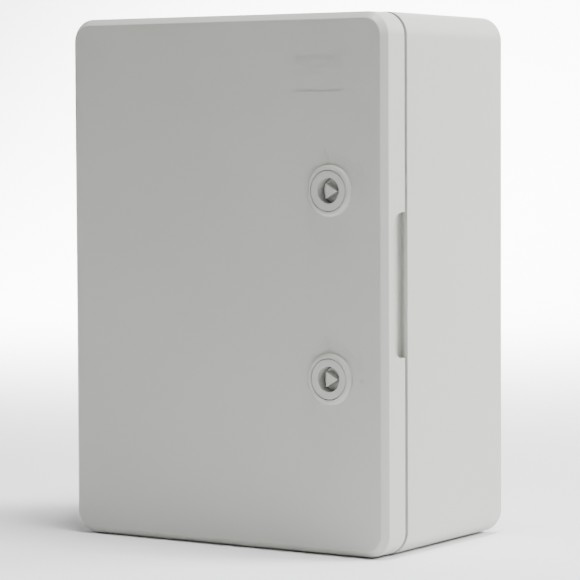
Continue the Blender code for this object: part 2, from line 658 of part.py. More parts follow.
def screw_profile(head_radius, head_height, shank):
    """A pan-head screw whose head rests on z = 0, with its shank below."""
    return [
        (0, head_height),
        (head_radius - HEAD_EDGE, head_height),
        (head_radius, head_height - HEAD_EDGE),
        (head_radius, 0),
        (SHANK_RADIUS, 0),
        (SHANK_RADIUS, -shank),
        (0, -shank),
    ]


def keeper(side, y):
    """A bent steel hook on the base's pad. The cam turns in behind it."""
    hook_back = CAM_FRONT_OUT + KEEPER_HOOK_GAP
    right = KEEPER_RISER_X + KEEPER_THICK
    hook_x = CAM_TIP_X - KEEPER_HOOK_REACH
    outline = [
        (KEEPER_FOOT_X, KEEPER_FOOT_BACK_OUT),
        (right, KEEPER_FOOT_BACK_OUT),
        (right, hook_back + KEEPER_THICK),
        (hook_x, hook_back + KEEPER_THICK),
        (hook_x, hook_back),
        (KEEPER_RISER_X, hook_back),
        (KEEPER_RISER_X, KEEPER_FOOT_FRONT_OUT),
        (KEEPER_FOOT_X, KEEPER_FOOT_FRONT_OUT),
    ]
    half = KEEPER_WIDTH / 2
    piece = part(f"keeper_{side}", slab([outline], -half, half, RAISED_DOWN), ZINC_PLATE, (0, y, 0))
    screw_x = KEEPER_FOOT_X + KEEPER_SCREW_FROM_END
    foot = (KEEPER_FOOT_BACK_OUT - CUT_PAST, KEEPER_FOOT_FRONT_OUT + CUT_PAST)
    hole = helper(f"keeper_hole_{side}", rod(SHANK_RADIUS + SHANK_CLEARANCE, *foot), (screw_x, y, 0))
    combine(piece, "DIFFERENCE", [hole])
    screw = turned(screw_profile(KEEPER_SCREW_HEAD_RADIUS, KEEPER_SCREW_HEAD_HEIGHT, KEEPER_SCREW_SHANK))
    part(f"keeper_screw_{side}", screw, ZINC_PLATE, (screw_x, y, KEEPER_FOOT_FRONT_OUT + MESH_GAP))


def mounting_plate():
    outlines = [rounded_rectangle(PLATE_WIDTH, PLATE_HEIGHT, PLATE_CORNER)]
    for x, y, _ in both_signs():
        outlines.append(circle(PLATE_HOLE_RADIUS, centre=(x * PLATE_HOLE_X, y * PLATE_HOLE_Y)))
    part("mounting_plate", slab(outlines, PLATE_BACK_OUT, PLATE_BACK_OUT + PLATE_THICK), ZINC_PLATE)
    seat = PLATE_BACK_OUT + PLATE_THICK + MESH_GAP
    for x, y, corner in both_signs():
        screw = turned(screw_profile(PLATE_SCREW_HEAD_RADIUS, PLATE_SCREW_HEAD_HEIGHT, PLATE_SCREW_SHANK))
        part(f"plate_screw_{corner}", screw, ZINC_PLATE, (x * PLATE_HOLE_X, y * PLATE_HOLE_Y, seat))


def wall_plugs():
    """Plugs that seal the wall-fixing holes from inside."""
    shank_radius = FIXING_HOLE_RADIUS - PLUG_SHANK_CLEARANCE
    seat = WALL + MESH_GAP
    profile = [
        (0, seat + PLUG_HEAD_HEIGHT),
        (PLUG_HEAD_RADIUS, seat + PLUG_HEAD_HEIGHT),
        (PLUG_HEAD_RADIUS, seat),
        (shank_radius, seat),
        (shank_radius, PLUG_SHANK_SHORT),
        (0, PLUG_SHANK_SHORT),
    ]
    for x, y, corner in both_signs():
        part(f"wall_plug_{corner}", turned(profile), GREY_ABS, (x * FIXING_X, y * FIXING_Y, 0))


base()
door()
gasket()
for hinge_side, hinge_y in HINGES:
    hinge_pin(hinge_side, hinge_y)
for lock_side, lock_y in LOCKS:
    lock(lock_side, lock_y)
    keeper(lock_side, lock_y)
mounting_plate()
wall_plugs()
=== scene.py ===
"""A wall-mounted electrical junction box: a moulded base with a steel plate inside, and a hinged door with
two quarter-turn locks."""

import math

import bmesh
import bpy
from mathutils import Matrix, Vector


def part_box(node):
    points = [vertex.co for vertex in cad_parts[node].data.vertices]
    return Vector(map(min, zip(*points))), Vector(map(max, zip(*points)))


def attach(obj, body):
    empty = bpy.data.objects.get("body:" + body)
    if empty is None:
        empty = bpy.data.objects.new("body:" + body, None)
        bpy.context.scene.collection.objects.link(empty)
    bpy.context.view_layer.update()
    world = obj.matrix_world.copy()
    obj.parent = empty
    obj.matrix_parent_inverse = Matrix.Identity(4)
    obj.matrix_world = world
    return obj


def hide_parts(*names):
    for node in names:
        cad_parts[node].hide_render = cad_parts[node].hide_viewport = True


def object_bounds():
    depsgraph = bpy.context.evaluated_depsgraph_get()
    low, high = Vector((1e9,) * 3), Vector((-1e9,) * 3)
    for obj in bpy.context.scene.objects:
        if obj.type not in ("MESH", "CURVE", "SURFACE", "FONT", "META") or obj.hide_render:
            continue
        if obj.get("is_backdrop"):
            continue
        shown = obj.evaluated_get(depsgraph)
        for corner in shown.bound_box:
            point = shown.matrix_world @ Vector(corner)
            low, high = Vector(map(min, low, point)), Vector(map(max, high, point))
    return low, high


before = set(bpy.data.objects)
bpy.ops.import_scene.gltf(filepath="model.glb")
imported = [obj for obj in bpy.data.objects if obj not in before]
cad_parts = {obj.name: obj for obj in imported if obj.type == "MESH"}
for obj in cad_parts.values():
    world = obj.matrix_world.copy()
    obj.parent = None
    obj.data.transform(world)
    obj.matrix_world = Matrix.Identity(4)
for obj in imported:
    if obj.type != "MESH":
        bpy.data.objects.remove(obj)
cad_low, cad_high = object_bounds()

# ---------------------------------------------------------------------------------------------------------
# Studio: a pale floor that sweeps up behind the box. One panel, behind and above, lights the backdrop, one
# behind on the right lights the box's side, and one lights its top. Two weak ones fill the door and the floor
# in front of it. The camera stands to the right of the box, a little above its middle.
camera = bpy.data.objects.new("camera", bpy.data.cameras.new("camera"))
camera.location = (1.0644, -1.6638, 0.1000)
camera.rotation_euler = [math.radians(turn) for turn in (86.73, 0.25, 33.746)]
camera.data.sensor_width = 36
camera.data.lens = 174.8
bpy.context.scene.collection.objects.link(camera)
bpy.context.scene.camera = camera

SWEEP_RADIUS = 1.2


def clear_selection():
    for thing in list(bpy.context.selected_objects):
        thing.select_set(False)


def pick_up(piece):
    """Makes a piece the only selected one."""
    clear_selection()
    bpy.context.view_layer.objects.active = piece
    piece.select_set(True)


def edit(piece):
    """Opens a piece for modelling, with nothing in it selected."""
    pick_up(piece)
    bpy.ops.object.mode_set(mode="EDIT")
    bpy.ops.mesh.select_mode(type="FACE")
    bpy.ops.mesh.select_all(action="DESELECT")


def choose(piece, kind, test):
    """Selects the piece's verts, edges or faces that pass the test, in edit mode."""
    bpy.ops.mesh.select_mode(type={"verts": "VERT", "edges": "EDGE", "faces": "FACE"}[kind])
    bpy.ops.mesh.select_all(action="DESELECT")
    shape = bmesh.from_edit_mesh(piece.data)
    for element in getattr(shape, kind):
        if test(element):
            element.select_set(True)
    shape.select_flush_mode()
    bmesh.update_edit_mesh(piece.data)


def done(piece):
    bpy.ops.object.mode_set(mode="OBJECT")
    return piece


def settle(piece):
    """Moves an object's place, turn and scale into its mesh."""
    pick_up(piece)
    bpy.ops.object.transform_apply(location=True, rotation=True, scale=True)
    return piece


clear_selection()
bpy.ops.mesh.primitive_plane_add(size=8, location=(0, -1.0, cad_low.z - 0.0002))
floor = settle(bpy.context.object)
floor.name = "floor"
edit(floor)
choose(floor, "edges", lambda e: all(v.co.y > 0 for v in e.verts))
bpy.ops.mesh.extrude_region_move(TRANSFORM_OT_translate={"value": (0, 0, 4)})
choose(floor, "edges", lambda e: all(v.co.y > 0 and v.co.z < 0 for v in e.verts))
bpy.ops.mesh.bevel(offset=SWEEP_RADIUS, segments=24, affect="EDGES")
done(floor).data.shade_smooth()
floor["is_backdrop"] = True

floor_paint = bpy.data.materials.new("floor_paint")
floor_paint.use_nodes = True
paint_shader = floor_paint.node_tree.nodes["Principled BSDF"]
paint_shader.inputs["Base Color"].default_value = (0.95, 0.955, 0.96, 1)
paint_shader.inputs["Roughness"].default_value = 0.9
paint_shader.inputs["Specular IOR Level"].default_value = 0.1
floor.data.materials.append(floor_paint)


def soft_panel(name, at, aim, size, power, spread=180):
    """A square softbox aimed at a point. A grid on it narrows its spread, in degrees."""
    lamp = bpy.data.objects.new(name, bpy.data.lights.new(name, "AREA"))
    lamp.data.shape = "SQUARE"
    lamp.data.spread = math.radians(spread)
    lamp.data.size = size
    lamp.data.energy = power
    lamp.location = at
    lamp.rotation_euler = (Vector(aim) - Vector(at)).to_track_quat("-Z", "Y").to_euler()
    bpy.context.scene.collection.objects.link(lamp)


soft_panel("backdrop_panel", (-1.4, 1.5, 1.9), (-1.5, 2.1, 0.05), 2.0, 230, 90)
soft_panel("right_panel", (1.45, 0.77, 1.0), (0, -0.08, 0), 0.9, 62)
soft_panel("front_panel", (1.1, -1.1, 0.7), (0, -0.15, 0), 0.4, 2.6)
soft_panel("top_panel", (0.3, -0.12, 1.7), (0, -0.12, 0), 0.6, 60)
soft_panel("floor_panel", (-0.1, -0.75, 0.6), (-0.1, -0.7, 0), 0.6, 0.4, 80)
room_light = bpy.data.worlds.new("studio")
room_light.use_nodes = True
room_light.node_tree.nodes["Background"].inputs["Color"].default_value = (0.96, 0.98, 1.0, 1)
room_light.node_tree.nodes["Background"].inputs["Strength"].default_value = 0.08
bpy.context.scene.world = room_light

# ---------------------------------------------------------------------------------------------------------
# Base: one deep ABS moulding. Its long edges are well rounded, and its sides draw in slightly to the back. A
# collar inside the rim presses into the door's seal. Bosses carry the plate, and pads carry the keepers.
base_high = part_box("enclosure_base")[1]
plate_low, plate_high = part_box("mounting_plate")
seal_low, seal_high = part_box("door_gasket")
pin_low, pin_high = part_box("hinge_pin_upper")

# How far joined shapes start inside each other, how far cutters run past what they cut, and the distances
# within which corners are welded and taken to lie in one plane.
EMBED = 0.001
PAST = 0.002
WELD = 0.000002
NEAR = 0.00005

WALL = 0.003
CASE_ROUND = 0.016
CASE_STEPS = 16
BACK_ROUND = 0.0025
MOULD_EDGE = 0.0004
DRAFT = 0.0006
CLEARANCE = 0.0003
half_width = base_high.x
half_height = base_high.z
rim_y = -0.1243
door_rear_y = -0.1265
door_front_y = -0.150
skin_y = door_front_y + WALL
WEB_SETBACK = 0.002
WEB_THICK = 0.003
COLLAR_INSET = 0.006
COLLAR_WALL = 0.003
SCREW_HOLE = 0.0021
FIXING_HOLE = 0.003
SIDES = (("upper", 1), ("lower", -1))
CORNERS = (("upper_right", 1, 1), ("lower_right", 1, -1), ("upper_left", -1, 1), ("lower_left", -1, -1))

# The hinge eyes, by their spans of heights from each hinge's middle, and the roots that carry them.
hinge = (pin_low + pin_high) / 2
BASE_EYES = ((-0.0085, 0.0085),)
DOOR_EYES = ((0.0091, 0.0211), (-0.0211, -0.0091))
EYE_RADIUS = 0.004
EYE_CLEARANCE = 0.0004
ROOT_REACH = 0.010
ROOT_TAPER = 0.0055
ROOT_SIDE = 0.002
PIN_HOLE = 0.00175
PIN_HOLE_PAST = 0.0005


def cube(name, low, high):
    """A block between two corners."""
    low, high = Vector(low), Vector(high)
    clear_selection()
    bpy.ops.mesh.primitive_cube_add(size=1, location=(low + high) / 2)
    made = bpy.context.object
    made.name = name
    made.scale = high - low
    return settle(made)


def bar(name, radius, start, end, sides=64):
    """A round bar between two points."""
    start, end = Vector(start), Vector(end)
    clear_selection()
    turn = (end - start).to_track_quat("Z", "Y").to_euler()
    size = {"radius": radius, "depth": (end - start).length}
    bpy.ops.mesh.primitive_cylinder_add(vertices=sides, location=(start + end) / 2, rotation=turn, **size)
    made = bpy.context.object
    made.name = name
    return settle(made)


def turned(name, rings, x, z, sides=64):
    """A shape turned about a line along Y through x, z, drawn out ring by ring from (radius, y) pairs.

    It is a solid with flat ends, or a hollow one if its last ring is its first again.
    """
    radius, y = rings[0]
    clear_selection()
    upright = (math.pi / 2, math.pi / 2, 0)
    bpy.ops.mesh.primitive_circle_add(vertices=sides, radius=radius, location=(x, y, z), rotation=upright)
    made = settle(bpy.context.object)
    made.name = name
    edit(made)
    bpy.ops.mesh.select_mode(type="EDGE")
    bpy.ops.mesh.select_all(action="SELECT")
    for next_radius, next_y in rings[1:]:
        bpy.ops.mesh.extrude_edges_move(TRANSFORM_OT_translate={"value": (0, next_y - y, 0)})
        growth = next_radius / radius
        bpy.ops.transform.resize(value=(growth, 1, growth), center_override=(x, next_y, z))
        radius, y = next_radius, next_y
    bpy.ops.mesh.select_all(action="SELECT")
    bpy.ops.mesh.remove_doubles(threshold=WELD)
    bpy.ops.mesh.fill_holes(sides=0)
    bpy.ops.mesh.select_all(action="SELECT")
    bpy.ops.mesh.normals_make_consistent(inside=False)
    return done(made)


def arc(centre, radius, start, end, steps):
    """Points along an arc, angles in degrees."""
    turns = [math.radians(start + (end - start) * i / steps) for i in range(steps + 1)]
    return [(centre[0] + radius * math.cos(turn), centre[1] + radius * math.sin(turn)) for turn in turns]


def modify(piece, kind, **settings):
    """Adds a modifier and applies it."""
    pick_up(piece)
    added = piece.modifiers.new(kind.lower(), kind)
    for setting, value in settings.items():
        setattr(added, setting, value)
    bpy.ops.object.modifier_apply(modifier=added.name)
    return piece


def join(piece, others, operation="UNION"):
    """Melts other shapes into a piece, or cuts them out of it, and removes them."""
    for other in others:
        modify(piece, "BOOLEAN", object=other, operation=operation, solver="EXACT")
        bpy.data.objects.remove(other)
    return piece


def cut(piece, others):
    return join(piece, others, "DIFFERENCE")


def runs_along(edge, axis):
    return abs((edge.verts[0].co - edge.verts[1].co).normalized()[axis]) > 0.9


def lies_at(element, axis, value):
    return all(abs(v.co[axis] - value) < NEAR for v in element.verts)


def round_box(name, low, high, radius, segments, axis=1):
    """A block whose edges along one axis are rounded."""
    made = cube(name, low, high)
    edit(made)
    choose(made, "edges", lambda e: runs_along(e, axis))
    bpy.ops.mesh.bevel(offset=radius, segments=segments, affect="EDGES")
    return done(made)


def case_ring(name, inset, low_y, high_y, wall):
    """A rectangular collar that follows the case's outline at one inset."""
    x, z = half_width - inset, half_height - inset
    outer = round_box(name, (-x, low_y, -z), (x, high_y, z), CASE_ROUND - inset, CASE_STEPS)
    x, z = x - wall, z - wall
    past = (high_y - low_y) / 10
    room_low, room_high = (-x, low_y - past, -z), (x, high_y + past, z)
    inner = round_box("room", room_low, room_high, CASE_ROUND - inset - wall, CASE_STEPS)
    return cut(outer, [inner])


def smooth(piece, angle=35):
    """Shades a piece smooth, with its true edges kept sharp."""
    pick_up(piece)
    bpy.ops.object.shade_smooth_by_angle(angle=math.radians(angle))
    return modify(piece, "WEIGHTED_NORMAL", mode="FACE_AREA_WITH_ANGLE", keep_sharp=True)


def soften(piece, width, angle=30, segments=2):
    """Rounds every edge that a mould, a press or a file would round."""
    edit(piece)
    bpy.ops.mesh.select_all(action="SELECT")
    bpy.ops.mesh.remove_doubles(threshold=WELD)
    bpy.ops.mesh.dissolve_limited(angle_limit=math.radians(0.2))
    done(piece)
    corner = {"limit_method": "ANGLE", "angle_limit": math.radians(angle), "miter_outer": "MITER_ARC"}
    modify(piece, "BEVEL", width=width, segments=segments, use_clamp_overlap=False, **corner)
    return smooth(piece)


def hinge_rod(name, side, radius, span, past=0):
    """A rod about a hinge's pin, over a span of heights from the hinge's middle and past both its ends."""
    low, high = (Vector((hinge.x, hinge.y, side * hinge.z + z)) for z in (span[0] - past, span[1] + past))
    return bar(name, radius, low, high, 48)


def eye_pockets(spans):
    """Cutters for the room that the eyes over these spans turn in."""
    radius = EYE_RADIUS + EYE_CLEARANCE
    return [hinge_rod("pocket", side, radius, span, EYE_CLEARANCE) for _, side in SIDES for span in spans]


def pin_holes(spans):
    """Cutters for the pins' holes through the eyes over these spans."""
    return [hinge_rod("pin_hole", side, PIN_HOLE, span, PIN_HOLE_PAST) for _, side in SIDES for span in spans]


def hinge_eye(name, side, span, front):
    """A hinge eye round the pin, with a tapered root into the door (front -1) or the base (front 1)."""
    middle = Vector((hinge.x, hinge.y, side * hinge.z))
    eye = hinge_rod(name, side, EYE_RADIUS, span)
    far = middle.y + front * ROOT_REACH
    low = (middle.x - EYE_RADIUS, min(middle.y, far), middle.z + span[0])
    root = cube("root", low, (middle.x + ROOT_SIDE, max(middle.y, far), middle.z + span[1]))
    edit(root)
    choose(root, "verts", lambda v: v.co.x < middle.x and abs(v.co.y - far) < NEAR)
    bpy.ops.transform.translate(value=(ROOT_TAPER, 0, 0))
    done(root)
    return join(eye, [root])


base_shell = cube("base_shell", (-half_width, rim_y, -half_height), (half_width, 0, half_height))
edit(base_shell)
choose(base_shell, "faces", lambda f: lies_at(f, 1, 0))
draw_in = [(half - DRAFT) / half for half in (half_width, half_height)]
bpy.ops.transform.resize(value=(draw_in[0], 1, draw_in[1]))
choose(base_shell, "edges", lambda e: runs_along(e, 1))
bpy.ops.mesh.bevel(offset=CASE_ROUND, segments=CASE_STEPS, affect="EDGES")
choose(base_shell, "edges", lambda e: lies_at(e, 1, 0))
bpy.ops.mesh.bevel(offset=BACK_ROUND, segments=5, affect="EDGES")
choose(base_shell, "faces", lambda f: lies_at(f, 1, rim_y))
bpy.ops.mesh.delete(type="FACE")
done(base_shell)
modify(base_shell, "SOLIDIFY", thickness=WALL, offset=-1, use_even_offset=True)

web_front = rim_y + WEB_SETBACK
web_back = web_front + WEB_THICK
collar_front = seal_high.y + CLEARANCE
moulded = [case_ring("web", WALL / 2, web_front, web_back, COLLAR_INSET + COLLAR_WALL - WALL / 2)]
moulded.append(case_ring("collar", COLLAR_INSET, collar_front, web_back, COLLAR_WALL))

BOSS_RADIUS = 0.006
BOSS_RIB_REACH = 0.011
BOSS_RIB_HALF = 0.0008
BOSS_RIB_DROP = 0.005
boss_top = plate_high.y + CLEARANCE
boss_foot = EMBED - WALL
screw_low, screw_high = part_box("plate_screw_upper_right")
boss = (screw_low + screw_high) / 2
for _, x, z in CORNERS:
    at = Vector((x * boss.x, 0, z * boss.z))
    moulded.append(bar("boss", BOSS_RADIUS, at + Vector((0, boss_foot, 0)), at + Vector((0, boss_top, 0))))
    for reach in ((BOSS_RIB_REACH, BOSS_RIB_HALF), (BOSS_RIB_HALF, BOSS_RIB_REACH)):
        low = at + Vector((-reach[0], boss_top + BOSS_RIB_DROP, -reach[1]))
        moulded.append(cube("boss_rib", low, at + Vector((reach[0], boss_foot, reach[1]))))

PAD_DEPTH = 0.0157
keeper_low, keeper_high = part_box("keeper_upper")
pad_front = keeper_high.y + CLEARANCE
for name, _ in SIDES:
    low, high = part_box(f"keeper_{name}")
    pad_high = (half_width - WALL / 2, pad_front + PAD_DEPTH, high.z)
    moulded.append(cube("pad", (low.x, pad_front, low.z), pad_high))
join(base_shell, moulded)
soften(base_shell, MOULD_EDGE)

cut(base_shell, eye_pockets(DOOR_EYES))
join(base_shell, [hinge_eye("base_eye", side, span, 1) for _, side in SIDES for span in BASE_EYES])

BOSS_HOLE_END = -0.0045
PAD_HOLE_SPARE = 0.0015
holes = pin_holes(BASE_EYES)
plug_low, plug_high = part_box("wall_plug_upper_right")
plug = (plug_low + plug_high) / 2
for _, x, z in CORNERS:
    at = Vector((x * boss.x, 0, z * boss.z))
    ends = at + Vector((0, boss_top - PAST, 0)), at + Vector((0, BOSS_HOLE_END, 0))
    holes.append(bar("screw_hole", SCREW_HOLE, *ends, 32))
    at = Vector((x * plug.x, 0, z * plug.z))
    ends = at + Vector((0, -2 * WALL, 0)), at + Vector((0, PAST, 0))
    holes.append(bar("fixing_hole", FIXING_HOLE, *ends, 32))
for name, _ in SIDES:
    low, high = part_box(f"keeper_screw_{name}")
    at = (low + high) / 2
    ends = (at.x, pad_front - PAST, at.z), (at.x, high.y + PAD_HOLE_SPARE, at.z)
    holes.append(bar("pad_hole", SCREW_HOLE, *ends, 32))
cut(base_shell, holes)
smooth(base_shell)


def node(material, kind, inputs={}, **settings):
    """Adds a shader node. A socket given for an input is linked to it, and anything else is its value."""
    tree = material.node_tree
    made = tree.nodes.new("ShaderNode" + kind)
    for setting, value in settings.items():
        setattr(made, setting, value)
    for name, value in inputs.items():
        socket = next(s for s in made.inputs if s.name == name and s.enabled)
        if isinstance(value, bpy.types.NodeSocket):
            tree.links.new(value, socket)
        else:
            socket.default_value = value
    return next(s for s in made.outputs if s.enabled)


def finish(name, **values):
    """A material with the shader values that are the same all over, and the piece's own coordinates."""
    made = bpy.data.materials.new(name)
    made.use_nodes = True
    shader = made.node_tree.nodes["Principled BSDF"]
    for socket, value in values.items():
        shader.inputs[socket.replace("_", " ")].default_value = value
    coordinates = made.node_tree.nodes.new("ShaderNodeTexCoord")
    return made, coordinates.outputs["Object"]


def connect(material, **sockets):
    """Links sockets to the shader's inputs."""
    shader = material.node_tree.nodes["Principled BSDF"]
    for name, socket in sockets.items():
        material.node_tree.links.new(socket, shader.inputs[name.replace("_", " ")])


def tints(material, factor, low, high, start=0.3, end=0.7):
    """Colours from low to high as the factor grows."""
    made = node(material, "ValToRGB", {"Fac": factor})
    ramp = made.node.color_ramp
    ramp.elements[0].position, ramp.elements[1].position = start, end
    ramp.elements[0].color, ramp.elements[1].color = (*low, 1), (*high, 1)
    return made


def shade(colour, amount):
    return [min(part * amount, 1) for part in colour]


def spread(material, value, low, high, start=0.0, end=1.0):
    """The value, moved to run from low to high."""
    limits = {"From Min": start, "From Max": end, "To Min": low, "To Max": high}
    return node(material, "MapRange", {"Value": value, **limits})


def bumps(material, layers):
    """Relief from (height, strength, distance) layers, the first one on top."""
    normal = {}
    for height, strength, distance in layers:
        relief = {"Height": height, "Strength": strength, "Distance": distance}
        normal = {"Normal": node(material, "Bump", {**relief, **normal})}
    connect(material, **normal)


def moulded_plastic(name, colour, roughness, grain):
    """Injection-moulded plastic: a fine spark-eroded grain, faint flow marks and slight sinking."""
    made, place = finish(name, IOR=1.52)
    flow = node(made, "TexNoise", {"Vector": place, "Scale": 9, "Detail": 4})
    gloss = node(made, "TexNoise", {"Vector": place, "Scale": 35, "Detail": 3})
    spark = node(made, "TexVoronoi", {"Vector": place, "Scale": grain})
    sink = node(made, "TexNoise", {"Vector": place, "Scale": 16, "Detail": 2})
    connect(made, Base_Color=tints(made, flow, shade(colour, 0.965), colour))
    connect(made, Roughness=spread(made, gloss, roughness - 0.05, roughness + 0.06))
    bumps(made, [(spark, 0.12, 0.00008), (sink, 0.06, 0.0008)])
    return made


def install(piece, node_name, material, body):
    """Gives a finished piece its material, and puts it in its solid's place on the body it moves with."""
    piece.data.materials.clear()
    piece.data.materials.append(material)
    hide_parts(node_name)
    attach(piece, body)


case_abs = moulded_plastic("case_abs", (0.52, 0.525, 0.487), 0.42, 1400)
install(base_shell, "enclosure_base", case_abs, "base")

# ---------------------------------------------------------------------------------------------------------
# Door: a shallow ABS lid with a soft chamfer round its face, a finger notch in the opening side, a sunk
# label panel, and two raised lock seats with moulded turn marks round them. Eyes at the left carry it.
DOOR_INSET = 0.0005
CHAMFER = 0.0041
CHAMFER_EDGE = 0.0005
door_x, door_z = half_width - DOOR_INSET, half_height - DOOR_INSET
lock_low, lock_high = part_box("lock_body_upper")
lock = (lock_low + lock_high) / 2
SEAT_RISE = 0.003
SEAT_CROWN = 0.0024
SEAT_RADIUS = 0.01665
SEAT_HOLE = 0.0135
SEAT_HOLE_EDGE = 0.0001
BARREL_HOLE = 0.01125
REAR_BOSS_RADIUS = 0.0175
REAR_BOSS_HEIGHT = 0.002
SEAL_RIB_INSET = 0.0095
SEAL_RIB_HEIGHT = 0.003
SEAL_RIB_WALL = 0.0015
NOTCH_HALF = 0.0467
NOTCH_DEPTH = 0.015
NOTCH_ROUND = 0.012
seat_y = door_front_y - SEAT_RISE
rear_boss_y = skin_y + REAR_BOSS_HEIGHT

door_panel = cube("door_panel", (-door_x, door_front_y, -door_z), (door_x, door_rear_y, door_z))
edit(door_panel)
choose(door_panel, "edges", lambda e: runs_along(e, 1))
bpy.ops.mesh.bevel(offset=CASE_ROUND - DOOR_INSET, segments=CASE_STEPS, affect="EDGES")
choose(door_panel, "edges", lambda e: lies_at(e, 1, door_front_y))
bpy.ops.mesh.bevel(offset=CHAMFER, segments=1, affect="EDGES")
choose(door_panel, "edges", lambda e: lies_at(e, 1, door_front_y) or lies_at(e, 1, door_front_y + CHAMFER))
bpy.ops.mesh.bevel(offset=CHAMFER_EDGE, segments=3, affect="EDGES")
choose(door_panel, "faces", lambda f: lies_at(f, 1, door_rear_y))
bpy.ops.mesh.delete(type="FACE")
done(door_panel)
modify(door_panel, "SOLIDIFY", thickness=WALL, offset=-1, use_even_offset=True)

rib_ends = (skin_y - EMBED, skin_y + SEAL_RIB_HEIGHT)
join(door_panel, [case_ring("seal_rib", SEAL_RIB_INSET, *rib_ends, SEAL_RIB_WALL)])
notch_low = (door_x - WALL - PAST, door_rear_y - NOTCH_DEPTH, -NOTCH_HALF)
notch_high = (door_x + PAST, door_rear_y + NOTCH_DEPTH, NOTCH_HALF)
cut(door_panel, [round_box("notch", notch_low, notch_high, NOTCH_ROUND, 12, 0)])
soften(door_panel, MOULD_EDGE)

crown = arc((SEAT_RADIUS - SEAT_CROWN, seat_y + SEAT_CROWN), SEAT_CROWN, -90, 0, 10)
seat_rings = [(SEAT_HOLE - EMBED, seat_y), *crown, (SEAT_RADIUS, door_front_y + EMBED)]
rear_rings = [
    (REAR_BOSS_RADIUS, skin_y - EMBED),
    (REAR_BOSS_RADIUS, rear_boss_y - MOULD_EDGE),
    (REAR_BOSS_RADIUS - MOULD_EDGE, rear_boss_y),
]
moulded = []
for _, side in SIDES:
    moulded.append(turned("seat", seat_rings, lock.x, side * lock.z, 96))
    moulded.append(turned("rear_boss", rear_rings, lock.x, side * lock.z, 96))
join(door_panel, moulded)

cut(door_panel, eye_pockets(BASE_EYES))
join(door_panel, [hinge_eye("door_eye", side, span, -1) for _, side in SIDES for span in DOOR_EYES])

seat_floor_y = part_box("lock_seal_upper")[1].y + CLEARANCE
lock_hole = [
    (SEAT_HOLE + 2 * SEAT_HOLE_EDGE, seat_y - SEAT_HOLE_EDGE),
    (SEAT_HOLE, seat_y + SEAT_HOLE_EDGE),
    (SEAT_HOLE, seat_floor_y),
    (BARREL_HOLE, seat_floor_y),
    (BARREL_HOLE, rear_boss_y + PAST),
]
holes = pin_holes(DOOR_EYES)
holes += [turned("lock_hole", lock_hole, lock.x, side * lock.z, 96) for _, side in SIDES]

LABEL_SIZE = Vector((0.0345, 0, 0.0235))
LABEL_DEPTH = 0.0007
LABEL_SLOPE = 0.0007
LABEL_ROUND = 0.0012
LABEL_FROM_SIDE = 0.0342
LABEL_FROM_TOP = 0.0268
label_high = Vector((half_width - LABEL_FROM_SIDE, door_front_y + LABEL_DEPTH, half_height - LABEL_FROM_TOP))
label_low = label_high - LABEL_SIZE - Vector((0, 2 * LABEL_DEPTH, 0))
label_panel = round_box("label_panel", label_low, label_high, LABEL_ROUND, 6)
edit(label_panel)
choose(label_panel, "faces", lambda f: lies_at(f, 1, label_low.y))
grown = [1 + 4 * LABEL_SLOPE / size for size in (LABEL_SIZE.x, LABEL_SIZE.z)]
bpy.ops.transform.resize(value=(grown[0], 1, grown[1]), center_override=(label_low + label_high) / 2)
holes.append(done(label_panel))

PIT_X = -0.1080
PIT_RADIUS = 0.0006
PIT_DEPTH = 0.0004
CORNER_MARK_Z = 0.1595
for _, side in SIDES:
    at = Vector((PIT_X, door_front_y, side * CORNER_MARK_Z))
    holes.append(bar("mark_pit", PIT_RADIUS, at - Vector((0, PAST, 0)), at + Vector((0, PIT_DEPTH, 0)), 24))
cut(door_panel, holes)

MARK_WIDTH = 0.0005
MARK_RISE = 0.00028


def straight_mark(start, end):
    """A moulded line on the door's face between two (x, z) points."""
    start, end = Vector(start), Vector(end)
    reach = end - start
    clear_selection()
    bpy.ops.mesh.primitive_cube_add(size=1)
    made = bpy.context.object
    made.location = ((start.x + end.x) / 2, door_front_y, (start.y + end.y) / 2)
    made.scale = (reach.length, 2 * MARK_RISE, MARK_WIDTH)
    made.rotation_euler.y = -math.atan2(reach.y, reach.x)
    return settle(made)


def ring_mark(x, z, radius, start=None, end=None):
    """A moulded ring about a point of the door's face, or its arc from one angle to another."""
    inner, outer = radius - MARK_WIDTH / 2, radius + MARK_WIDTH / 2
    front, back = door_front_y - MARK_RISE, door_front_y + MARK_RISE
    section = [(inner, front), (outer, front), (outer, back), (inner, back), (inner, front)]
    made = turned("ring_mark", section, x, z, 96)
    if start is not None:
        edit(made)
        for turn, sign in ((math.radians(start), 1), (math.radians(end), -1)):
            kept = (-sign * math.sin(turn), 0, sign * math.cos(turn))
            bpy.ops.mesh.select_all(action="SELECT")
            bpy.ops.mesh.bisect(plane_co=(x, 0, z), plane_no=kept, use_fill=True, clear_inner=True)
        done(made)
    return made


